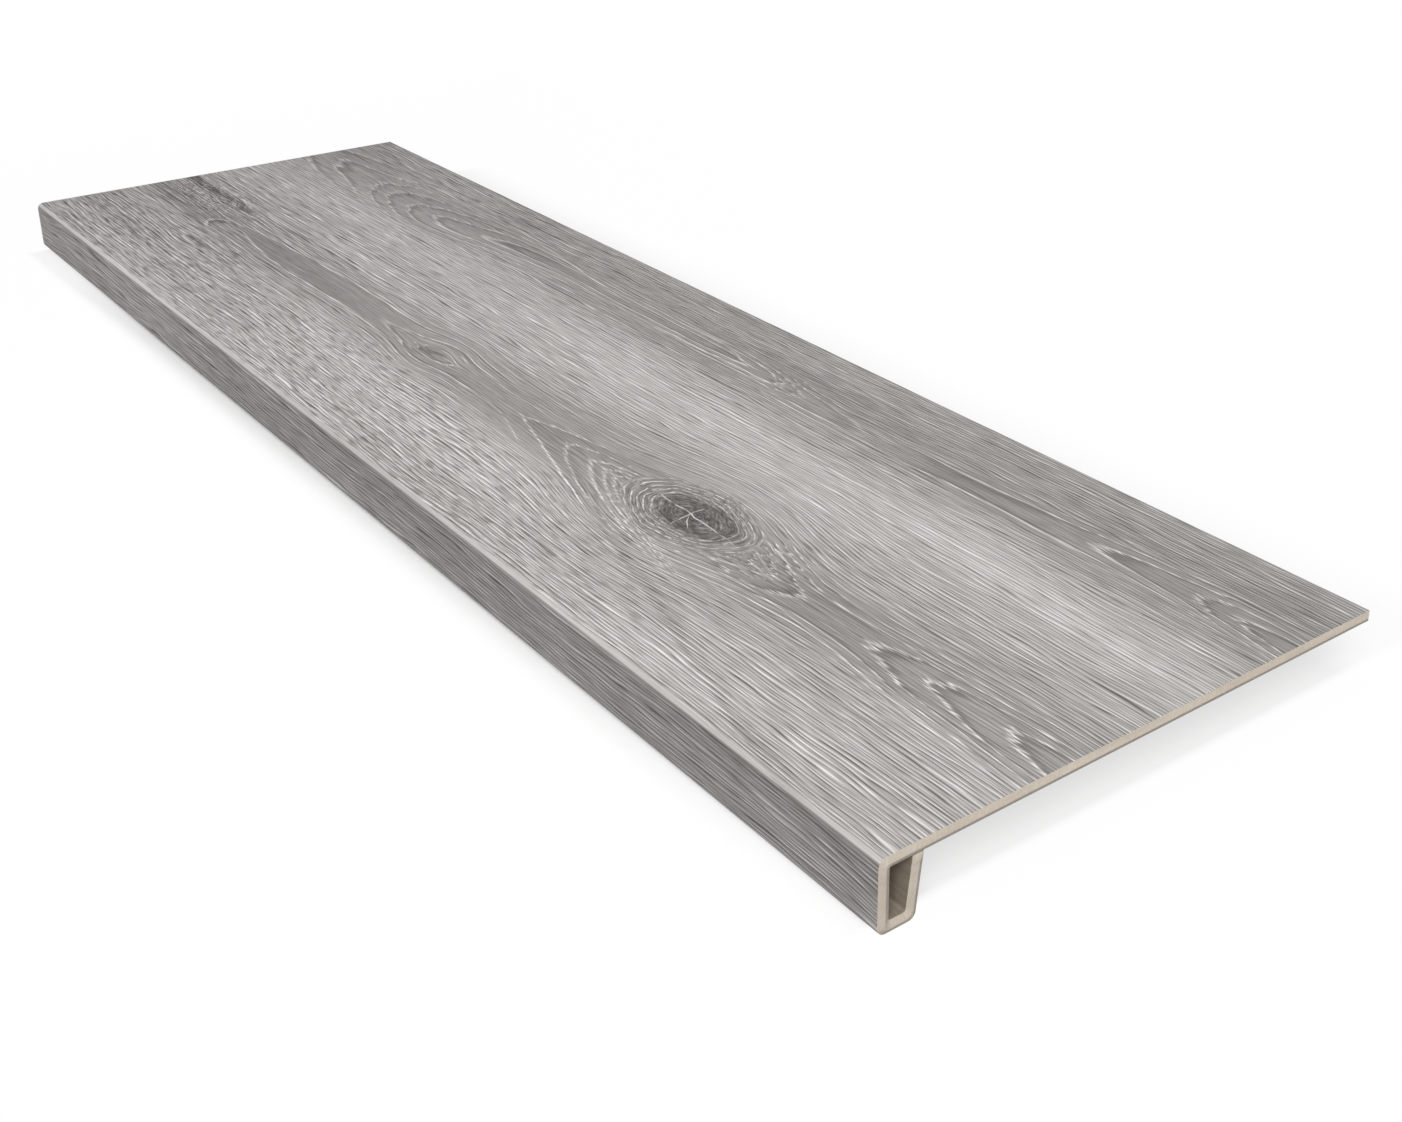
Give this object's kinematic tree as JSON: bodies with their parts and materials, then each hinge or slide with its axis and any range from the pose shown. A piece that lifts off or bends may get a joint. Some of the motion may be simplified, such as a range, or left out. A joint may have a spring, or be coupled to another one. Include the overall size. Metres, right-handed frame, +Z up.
{
  "type": "stair tread cover",
  "caption": "Stair tread cover: a thin wood-look sheet, level on top, folded down at the front into a hollow box nose with a leaning return.",
  "frame": {"origin": "middle of the tread's outer box, on the level of its lowest face", "axes": "+X along the tread, +Y from the nose towards the back edge, +Z up out of the walking face"},
  "size_m": [1.2, 0.35, 0.042],
  "materials": {
    "decor_sheet": "embossed grey limed-oak decor over a beige rigid core, matt"
  },
  "bodies": {
    "root": {"tread": "decor_sheet"}
  },
  "joints": []
}
